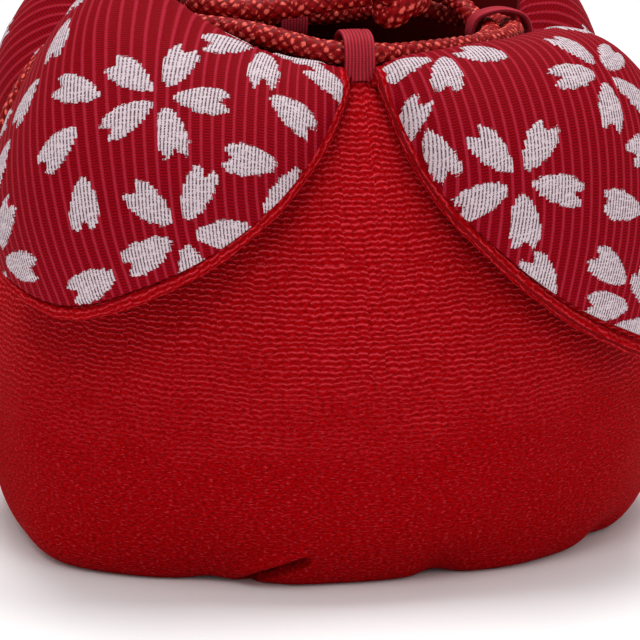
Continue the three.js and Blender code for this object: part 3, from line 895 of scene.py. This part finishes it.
class POUCH_OT_lining(bpy.types.Operator):
    """Line the body with plain cloth, up to the seam at the mouth's crest"""

    bl_idname = "pouch.lining"
    bl_label = "Lining"

    def execute(self, context):
        azimuth = round_azimuths(56)
        places = np.concatenate((np.linspace(0, 2, 4), np.linspace(2.2, 5, 10),
                                 np.linspace(5.2, KNOT_STEPS, 36)))
        steps = np.linspace(0.03, SEAM_STEP - 0.02, 4)
        line, inward = cloth_middle(azimuth, places, steps)
        outer = placed(azimuth, line + inward * LINER_BACK)
        inner = placed(azimuth, line + inward * LINER_FACE)
        across = np.radians(azimuth)[:, None] * GRAIN_RADIUS * np.ones(line.shape[1])
        grain = np.stack((across, along(line), np.zeros_like(across)), axis=-1).reshape(-1, 3)
        points, faces = shell(outer, inner, wrap=True, pole=True)
        lining = add_piece("lining_cloth", points, faces, lining_finish(), ("lining",),
                           round_grain=np.concatenate((grain, grain)))
        return {"FINISHED"}


def flat_petal(azimuth, line, start, crest_z):
    """Place on the flat petal: (rho sin(k b), rho cos(k b) - apex), b the turn from the petal's middle."""
    run = along(line) - 0.95 * (crest_z - NOTCH_ROW[1])[:, None]
    turn = CONE * np.radians(azimuth - start - QUARTER / 2)[:, None]
    rho = CONE_APEX + run
    return rho * np.sin(turn), rho * np.cos(turn) - CONE_APEX


def blossom_leaf(x, y, middle):
    """Signed depth into one notched petal that points along +x, positive inside, in millimetres.

    An egg, wider towards its outer end, cut by a V at that end.
    """
    t = (x - middle) / LEAF_HALF
    width = LEAF_WIDE * (0.9 + 0.26 * np.clip(t, -1, 1))
    egg = (1 - np.sqrt(t**2 + (y / width) ** 2)) * LEAF_WIDE
    cut = (middle + LEAF_HALF - 2.3 + 1.3 * np.abs(y) - x) * 0.6
    return np.minimum(egg, cut)


def tangent_place(points, across, down, item):
    """Coordinates in the plane that touches the cloth at a motif's place, turned to its own direction.

    Cloth farther than MOTIF_REACH on the flat petal is put out of reach, or a fold would be marked twice.
    """
    u, v, angle = item
    column, row = np.unravel_index(np.argmin((across - u) ** 2 + (down - v) ** 2), across.shape)
    column, row = np.clip((column, row), 1, np.array(across.shape) - 2)
    sideways = points[column + 1, row] - points[column - 1, row]
    sideways /= np.linalg.norm(sideways)
    fall = points[column, row + 1] - points[column, row - 1]
    fall -= sideways * fall.dot(sideways)
    fall /= np.linalg.norm(fall)
    x, y = (points - points[column, row]) @ sideways, (points - points[column, row]) @ fall
    x = np.where(np.hypot(across - u, down - v) < MOTIF_REACH, x, 10 * MOTIF_REACH)
    c, s = cos(radians(angle)), sin(radians(angle))
    return x * c + y * s, y * c - x * s


def motif_depth(points, across, down, name):
    """Depth into the nearest blossom petal: whole flowers of five, and single petals between them."""
    size = sizes().blossom / MM / BLOSSOM_WIDTH
    depth = np.full(across.shape, -9.0)
    for item in FLOWERS[name]:
        x, y = tangent_place(points, across, down, item)
        for leaf in range(5):
            angle = 2 * pi * leaf / 5
            along_leaf = x * cos(angle) + y * sin(angle)
            beside = y * cos(angle) - x * sin(angle)
            depth = np.maximum(depth, blossom_leaf(along_leaf / size, beside / size, LEAF_MIDDLE))
    for item in SPRAYS[name]:
        x, y = tangent_place(points, across, down, item)
        depth = np.maximum(depth, blossom_leaf(x / size, y / size, 0))
    return depth


def motif_slope(motif, across, down):
    """How fast the motif's depth changes across and down the weave, from its changes over the grid."""
    (m0, m1), (a0, a1), (d0, d1) = np.gradient(motif), np.gradient(across), np.gradient(down)
    area = a0 * d1 - a1 * d0
    area = np.where(np.abs(area) < 1e-6, 1e-6, area)
    slope = np.stack(((m0 * d1 - m1 * d0) / area, (a0 * m1 - a1 * m0) / area, np.zeros_like(area)),
                     axis=-1)
    return np.clip(slope, -1.2, 1.2)


class POUCH_OT_facings(bpy.types.Operator):
    """Face each petal with ribbed brocade, its blossom standing a little proud of the ground"""

    bl_idname = "pouch.facings"
    bl_label = "Petal facings"

    def execute(self, context):
        for name, (start, _) in PETALS.items():
            azimuth = np.linspace(start + NOTCH_HALF, start + QUARTER - NOTCH_HALF, 200)
            steps = np.linspace(SEAM_STEP, 0.985, 150)
            line, inward = facing_middle(azimuth, steps)
            across, down = flat_petal(azimuth, line, start, petal_row(azimuth)[:, 1])
            motif = motif_depth(placed(azimuth, line + inward * LINER_FACE) / MM, across, down, name)
            turn = radians(RIB_TURN[name])
            rib_across = across * cos(turn) - down * sin(turn)
            rib_down = across * sin(turn) + down * cos(turn)
            rib = np.cos(2 * pi * (rib_across * MM / sizes().rib - 0.5)) * 0.5 + 0.5
            raised = 0.10 * rib * (1 - ease(motif, -0.3, 0.1)) + 0.3 * ease(motif, -0.15, 0.5)
            raised = raised + 0.8 * petal_swell(azimuth - start, steps)
            outer = placed(azimuth, line + inward * LINER_BACK)
            inner = placed(azimuth, line + inward * (LINER_FACE + raised)[..., None])
            weave = np.stack((rib_across, rib_down, motif), axis=-1).reshape(-1, 3)
            slope = motif_slope(motif, rib_across, rib_down).reshape(-1, 3)
            points, faces = shell(outer, inner)
            facing = add_piece(f"brocade_{name}", points, faces, brocade_finish(),
                               (f"petal_facing_{name}",),
                               {"weave": np.concatenate((weave, weave)),
                                "slope": np.concatenate((slope, slope))})
        return {"FINISHED"}


def petal_swell(turn, steps):
    """How far the padding lifts the brocade, from 0 at the seam and edges to 1 over most of the petal."""
    beside = ease(np.minimum(turn, QUARTER - turn), NOTCH_HALF, NOTCH_HALF + 9)[:, None]
    return beside * (ease(steps, 0.3, 0.5) * (1 - ease(steps, 0.86, 0.995)))[None]


def facing_middle(azimuth, steps):
    """The petal's middle surface alone, and the way to its brocade side."""
    line = petal_section(azimuth, steps)
    tangent = np.gradient(line, axis=1)
    tangent /= np.linalg.norm(tangent, axis=-1, keepdims=True)
    return line, np.stack((-tangent[..., 1], tangent[..., 0]), axis=-1)


class POUCH_OT_borders(bpy.types.Operator):
    """Roll a narrow crepe border round the free edge of each petal, from notch to notch"""

    bl_idname = "pouch.borders"
    bl_label = "Petal borders"

    def execute(self, context):
        radius = sizes().border / MM / 2
        for name, (start, _) in PETALS.items():
            first, last = start + NOTCH_HALF, start + QUARTER - NOTCH_HALF
            azimuth = np.linspace(first, last, 120)
            edge, inward = facing_middle(azimuth, np.array([0.98, 1.0]))
            edge = (edge - 0.35 * inward)[:, 1:]
            rise = np.linspace(0.22, 0.93, 10)
            left, right = petal_section(np.array([first, last]), rise)
            knots = np.concatenate((
                placed(np.full(1, first), left[None])[0], placed(azimuth, edge)[:, 0],
                placed(np.full(1, last), right[None])[0][::-1])) / MM
            line = smooth_line(knots, 0.7, 9)
            turn = np.linspace(0, 2 * pi, 14, endpoint=False)[None, :]
            run = along(line)[:, None]
            reach = radius * (1 + 0.05 * np.sin(run / 2.3) + 0.04 * np.sin(run / 0.9 + 1)) + 0 * turn
            points, faces = tube(line, ring(reach, turn))
            add_piece(f"border_{name}", points, faces, crepe_finish(), (),
                                     {"grain": with_ends(run, radius * turn, 0.0)})
        return {"FINISHED"}


def smooth_line(knots, step, width):
    """A line in equal steps with its corners rounded by a moving mean."""
    line = respaced(knots, int(along(knots)[-1] / step))
    padded = np.pad(line, ((width // 2, width // 2), (0, 0)), mode="edge")
    kernel = np.ones(width) / width
    return np.stack([np.convolve(padded[:, axis], kernel, "valid") for axis in range(3)], axis=-1)


def squared(wave):
    """A sine or cosine pressed towards a square wave, which rounds a rectangle's corners."""
    return np.sign(wave) * np.abs(wave) ** 0.35


class POUCH_OT_loops(bpy.types.Operator):
    """Bend a band of ribbed tape over each notch to carry the cords"""

    bl_idname = "pouch.loops"
    bl_label = "Cord loops"

    def execute(self, context):
        half_wide = sizes().tape / MM / 2
        finish = tape_finish()
        for place, notch in zip(("front", "right", "back", "left"), NOTCHES):
            bend = spline(np.array(TAPE_PATH, float), np.linspace(0, len(TAPE_PATH) - 1, 90))
            c, s = cos(radians(notch)), sin(radians(notch))
            line = np.stack((bend[:, 0] * c, bend[:, 0] * s, bend[:, 1]), axis=-1)
            turn = np.linspace(0, 2 * pi, 72, endpoint=False)
            wide = squared(np.cos(turn)) * half_wide
            thick = squared(np.sin(turn)) * TAPE_THICK / 2
            thick = thick * (1 + 0.16 * np.cos(2 * pi * wide / TAPE_RIB))
            flare = (1 + 0.12 * np.exp(-along(line) / 1.6))[:, None]
            section = np.stack((wide[None] * flare, thick[None] + 0 * flare), axis=-1)
            ups = np.broadcast_to(np.array((-s, c, 0.0)), line.shape)
            points, faces = tube(line, section, ups)
            add_piece(f"tape_loop_{place}", points, faces, finish, (f"cord_loop_{place}",),
                      {"weave": with_ends(wide[None], along(line)[:, None], 0.0)})
        return {"FINISHED"}


# -------- camera and stage
CAMERA_DISTANCE = 0.55
CAMERA_PITCH = 12.0
CAMERA_AIM = 0.0376
CAMERA_LENS, CAMERA_SENSOR = 154.7, 36
LIGHT_AIM = (0, 0, 0.05)
SOFT_BOXES = (  # name, place, size, watts
    ("key", (-0.3, -0.8, 1.0), 0.5, 2.9), ("fill", (0.8, -0.6, 0.5), 0.8, 1.2),
    ("top", (0, 0.35, 1.7), 0.9, 23),
)
SKY_STRENGTH = 0.53
FLOOR_HALF = 3.0


class POUCH_OT_camera(bpy.types.Operator):
    """Stand the camera in front of the pouch, a little above it"""

    bl_idname = "pouch.camera"
    bl_label = "Camera"

    def execute(self, context):
        camera = bpy.data.objects.new("camera", bpy.data.cameras.new("camera"))
        camera.data.lens = CAMERA_LENS
        camera.data.sensor_width = CAMERA_SENSOR
        pitch = radians(CAMERA_PITCH)
        camera.location = (0, -CAMERA_DISTANCE * cos(pitch), CAMERA_AIM + CAMERA_DISTANCE * sin(pitch))
        camera.rotation_euler = (pi / 2 - pitch, 0, 0)
        camera.data.clip_start = 0.01
        context.scene.collection.objects.link(camera)
        context.scene.camera = camera
        return {"FINISHED"}


def area_light(name, place, size, power):
    """A square soft box at place, facing the pouch."""
    light = bpy.data.lights.new(name, "AREA")
    light.size, light.energy = size, power
    lamp = bpy.data.objects.new(name, light)
    lamp.location = place
    back = np.array(place) - np.array(LIGHT_AIM)
    tilt = np.arccos(back[2] / np.linalg.norm(back))
    lamp.rotation_euler = (tilt, 0, np.arctan2(back[1], back[0]) + pi / 2)
    bpy.context.scene.collection.objects.link(lamp)


class POUCH_OT_stage(bpy.types.Operator):
    """Lay the pale floor and hang the soft boxes"""

    bl_idname = "pouch.stage"
    bl_label = "Stage and light"

    def execute(self, context):
        mesh = bpy.data.meshes.new("floor")
        turns = ((-1, -1), (1, -1), (1, 1), (-1, 1))
        corners = [(x * FLOOR_HALF, y * FLOOR_HALF, FLOOR_Z) for x, y in turns]
        mesh.from_pydata(corners, [], [(0, 1, 2, 3)])
        mesh.materials.append(stage_finish())
        floor = bpy.data.objects.new("floor", mesh)
        context.scene.collection.objects.link(floor)
        for box in SOFT_BOXES:
            area_light(*box)
        world = bpy.data.worlds.new("studio")
        world.use_nodes = True
        sky = world.node_tree.nodes["Background"]
        sky.inputs["Color"].default_value = (1, 1, 1, 1)
        sky.inputs["Strength"].default_value = SKY_STRENGTH
        context.scene.world = world
        context.scene.view_settings.view_transform = "Standard"
        return {"FINISHED"}


# -------- panel and registration
OPERATORS = (POUCH_OT_camera, POUCH_OT_cords, POUCH_OT_cloth, POUCH_OT_lining, POUCH_OT_facings,
             POUCH_OT_borders, POUCH_OT_loops, POUCH_OT_stage)


class POUCH_PT_panel(bpy.types.Panel):
    """The pouch's pieces, in the order they are made"""

    bl_idname = "POUCH_PT_panel"
    bl_label = "Kinchaku pouch"
    bl_space_type = "VIEW_3D"
    bl_region_type = "UI"
    bl_category = "Pouch"

    def draw(self, context):
        layout = self.layout
        for group in (context.scene.pouch_sizes, context.scene.pouch_colours):
            for name in group.__annotations__:
                layout.prop(group, name)
        for operator in OPERATORS:
            layout.operator(operator.bl_idname)


CLASSES = (PouchSizes, PouchColours, *OPERATORS, POUCH_PT_panel)


def register():
    for item in CLASSES:
        bpy.utils.register_class(item)
    bpy.types.Scene.pouch_sizes = PointerProperty(type=PouchSizes)
    bpy.types.Scene.pouch_colours = PointerProperty(type=PouchColours)


def unregister():
    del bpy.types.Scene.pouch_colours
    del bpy.types.Scene.pouch_sizes
    for item in reversed(CLASSES):
        bpy.utils.unregister_class(item)


def main():
    """Make the camera and the cords, then the cloths, the trim and the stage."""
    register()
    for operator in OPERATORS:
        group, name = operator.bl_idname.split(".")
        if getattr(getattr(bpy.ops, group), name)() != {"FINISHED"}:
            raise RuntimeError(f"{operator.bl_label} did not finish")


if __name__ == "__main__":
    main()
